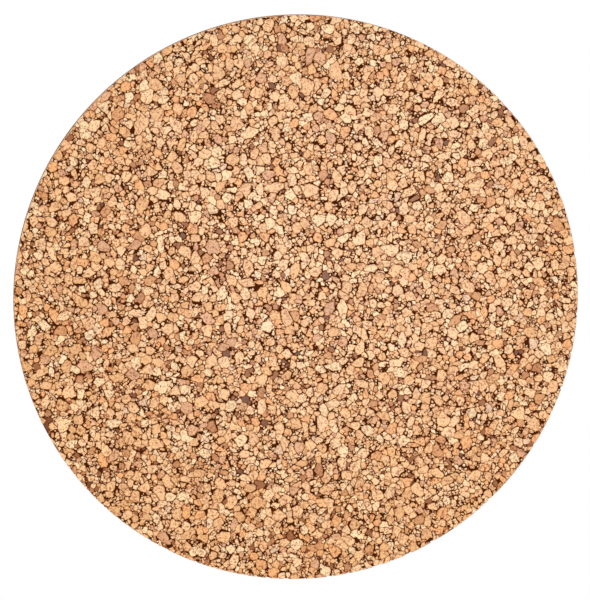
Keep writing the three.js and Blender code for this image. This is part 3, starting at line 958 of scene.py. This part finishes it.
def in_rows(places, owners, rows, low, height):
    """Map places of rim corners. The rim is unrolled and cut into rows, and an owner stays whole."""
    along = np.arctan2(places[:, 0], places[:, 2]) * CORK_RADIUS + HALF_GIRTH
    own = np.arctan2(owners[:, 0], owners[:, 2]) * CORK_RADIUS + HALF_GIRTH
    along = own + (along - own + HALF_GIRTH) % (2 * HALF_GIRTH) - HALF_GIRTH
    length = 2 * HALF_GIRTH / rows
    row = (own / length).astype(int)
    below = (places[:, 1] - FACE_Y / MM) / ((GLUED_Y - FACE_Y) / MM)
    return np.stack((0.02 + 0.96 * (along / length - row), low + (row + 0.9 * below) * height / rows), 1)


def add_map(mesh, map_places):
    mesh.uv_layers.new(name="OFBake").data.foreach_set("uv", map_places.astype(np.float32).ravel())


def map_face_granules(mesh, spread):
    places, middles, crest, normals, centres = corners_of(mesh)
    deep = np.abs(middles[:, 1] - FACE_Y / MM)
    sunk = np.clip((places[:, 1] - FACE_Y / MM) / deep, 0, 1)[:, None]
    drawn = middles + (places - middles) * (1 - DRAWN_IN + (DRAWN_IN + spread) * sunk)
    across = drawn[:, ::2] / (2 * CORK_RADIUS)
    laid = across * MAP_FACE + (0.5, MAP_FACE / 2)
    on_rim_wall = (crest == 1) & (np.abs(normals[:, 1]) < 0.5)
    laid[on_rim_wall] = in_rows(places, centres, ROWS, *MAP_ROWS)[on_rim_wall]
    base = (crest == 0) & (normals[:, 1] > 0.9)
    laid[base] = (places[base][:, ::2] / (2 * CORK_RADIUS) + 0.5) * MAP_BASES[1] + MAP_BASES[0]
    add_map(mesh, laid)


EDGE_WIDTHS = {"coarse": 0.30, "medium": 0.26, "small": 0.22, "fine": 0.18, "dust": 0.12}  # mm
THROWN_RADIUS = CORK_RADIUS + 5  # mm, past the rim, so that the cutter meets granules all round
RIM_DEPTH = (1.4, 3.6)           # mm that a granule at the rim goes down
ROOT_DEPTH = (0.05, 0.3)         # mm that any other goes into the binder
plates = granule_tree()
thrown = [granule for granule in sow(THROWN_RADIUS, THROWN_RADIUS)
          if math.hypot(*granule[:2]) < THROWN_RADIUS]
face_cells = {sieve: [] for sieve in SIEVES}
for outline, sieve, number, kin in pressed(thrown):
    outline = weathered(outline, number)
    distances = [math.hypot(x, z) for x, z in outline]
    if min(distances) < CORK_RADIUS - 0.3:
        at_rim = max(distances) >= CORK_RADIUS
        depth = chance.uniform(*RIM_DEPTH) if at_rim else BED_DEPTH + chance.uniform(*ROOT_DEPTH)
        face_cells[sieve].append((outline, sieve, kin, depth))

for sieve, cells in face_cells.items():
    granules = flat_granules(f"cork_{sieve}_granules", cells, on_face)
    worn = EDGE_WIDTHS[sieve]
    piece = through_nodes(f"cork_granules_{sieve}", granules, plates, Edge_height=0.3 * worn * MM,
                          Edge_width=2 * worn * MM, Unevenness=0.14 * MM, Seed=3, Finish=cut_cork)
    show_cut_rim(piece.data)
    map_face_granules(piece.data, WALL_SPREAD[sieve])
    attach(piece, "board")
    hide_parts("cork_face")

# ---------------------------------------------------------------------------------------------
# Cork granules of the rim
#
# The round cutter goes through the granules of the edge as well, so the 5 mm of cork below the
# face granules shows more of them, cut flush with the rim.
# ---------------------------------------------------------------------------------------------

CORK_THICKNESS = (GLUED_Y - FACE_Y) / MM
RIM_PLATE = 1.0  # mm that a rim granule goes in
RIM_ROWS = 8     # that the rim is cut into on its map
STATION = 0.25   # mm of rim between the places where the face granules' depth is kept
stations = int(2 * HALF_GIRTH / STATION) + 1
taken = np.full(stations, 1.5)  # mm below the face that the face granules take up
for cells in face_cells.values():
    for outline, _, _, depth in cells:
        turns = [math.atan2(x, z) for x, z in outline if math.hypot(x, z) > CORK_RADIUS - 0.15]
        if turns and max(turns) - min(turns) < 1:  # not across the place where the rim is unrolled
            first, last = (int((turn * CORK_RADIUS + HALF_GIRTH) / STATION)
                           for turn in (min(turns), max(turns)))
            taken[max(first - 1, 0):last + 2] = depth


def on_rim(along, down, depth):
    """A point of the rim, from its length along the rim and its mm below the slab's middle."""
    along = max(-HALF_GIRTH + 0.1, min(HALF_GIRTH - 0.1, along))
    top = taken[int((along + HALF_GIRTH) / STATION)] + 0.12
    below = max(top, min(CORK_THICKNESS - 0.05, down + CORK_THICKNESS / 2))
    radius = (CORK_RADIUS - 0.05 - depth) * MM
    turn = along / CORK_RADIUS
    return (radius * math.sin(turn), FACE_Y + below * MM, radius * math.cos(turn))


def map_rim_granules(mesh):
    places, middles, crest, normals, _ = corners_of(mesh)
    out = np.hypot(places[:, 0], places[:, 2])
    deep = np.hypot(middles[:, 0], middles[:, 2])
    sunk = np.clip((CORK_RADIUS - out) / (CORK_RADIUS - deep), 0, 1)[:, None]
    drawn = middles + (places - middles) * (1 - DRAWN_IN * (1 - sunk))
    laid = in_rows(drawn, middles, RIM_ROWS, 0.0, 0.84)
    base = (crest == 0) & ((normals[:, ::2] * places[:, ::2]).sum(1) < -0.9 * out)
    laid[base] = in_rows(places, middles, RIM_ROWS, 0.88, 0.1)[base]
    add_map(mesh, laid)


rim_cells = []
for outline, sieve, number, kin in pressed(sow(HALF_GIRTH, CORK_THICKNESS / 2 + 1.5)):
    shaped = weathered(outline, number)
    tops = [taken[int((max(-HALF_GIRTH, min(HALF_GIRTH, along)) + HALF_GIRTH) / STATION)]
            for along, _ in shaped]
    clear = [down + CORK_THICKNESS / 2 - top for (_, down), top in zip(shaped, tops)]
    if max(clear) > 0.5 and min(down for _, down in shaped) < CORK_THICKNESS / 2 - 0.4:
        rim_cells.append((shaped, sieve, kin, RIM_PLATE))
rim_granules = flat_granules("cork_rim", rim_cells, on_rim)
rim = through_nodes("cork_granules_rim", rim_granules, plates, Edge_height=0.06 * MM, Edge_width=0.3 * MM,
                    Unevenness=0.1 * MM, Seed=8, Finish=cut_cork)
map_rim_granules(rim.data)
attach(rim, "board")
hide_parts("cork_face")

# ---------------------------------------------------------------------------------------------
# Bumpers
#
# Four stick-on feet of moulded black rubber hold the board off the wall. Each is a low cone with
# a rounded edge, a shallow dish in its face where the mould was fed, and a thin line of flash.
# ---------------------------------------------------------------------------------------------

BUMPER_BASE_RADIUS = 6.5
BUMPER_FACE_RADIUS = 5.5
BUMPER_HEIGHT = -BACK_Y / MM
BUMPER_EDGE_RADIUS = 1.0
BUMPERS = [f"bumper_{place}" for place in ("top", "bottom", "left", "right")]

flash = [(BUMPER_BASE_RADIUS - inward, up) for inward, up in (
    (0.12, 0.0), (0, 0.1), (0.06, 0.35), (0.16, 0.5))]
bumper_edge = arc(BUMPER_FACE_RADIUS - BUMPER_EDGE_RADIUS, BUMPER_HEIGHT - BUMPER_EDGE_RADIUS,
                  BUMPER_EDGE_RADIUS, 8, 90, 8)
gate_dish = [(radius, BUMPER_HEIGHT - sunk) for radius, sunk in (
    (2.2, 0), (1.9, 0.06), (1.6, 0.22), (0.9, 0.28), (0.7, 0.2), (0.3, 0.12), (0, 0.1))]
bumper_profile = [(0, 0.0)] + flash + bumper_edge + gate_dish


SPARK_GRAIN = 0.25  # mm
DUST_PATCH = 2.5    # mm


def rubber_finish():
    """Moulded rubber: soft black with the mould's fine spark-eroded grain, and pale dust in patches."""
    made, tree, shader = new_material("moulded_black_rubber", Roughness=0.7, Specular_IOR_Level=0.4)
    place = new_node(tree, "ShaderNodeTexCoord").outputs["Object"]
    grain = new_node(tree, "ShaderNodeTexNoise", Vector=place, Scale=1 / (SPARK_GRAIN * MM), Detail=2.0)
    dust = new_node(tree, "ShaderNodeTexNoise", Vector=place, Scale=1 / (DUST_PATCH * MM), Detail=5.0)
    dusty = new_node(tree, "ShaderNodeMapRange", Value=dust, in_1=0.45, in_2=0.75, in_3=0.0, in_4=0.5)
    colour = new_node(tree, "ShaderNodeMix", {"data_type": "RGBA"}, in_0=dusty, in_6=srgb("#191919"),
                      in_7=srgb("#4b4844"))
    gloss = new_node(tree, "ShaderNodeMapRange", Value=dust, in_1=0.3, in_2=0.7, in_3=0.55, in_4=0.85)
    bump = new_node(tree, "ShaderNodeBump", Strength=0.4, Distance=0.05 * MM, Height=grain)
    link_finish(tree, shader, colour, gloss, bump)
    return made


bumper_places = [(centre(bumper).x, BACK_Y, centre(bumper).z) for bumper in BUMPERS]
set_out("bumpers", turned("bumper", bumper_profile, 48), bumper_places, rubber_finish(), 6, BUMPERS,
        "black_rubber")
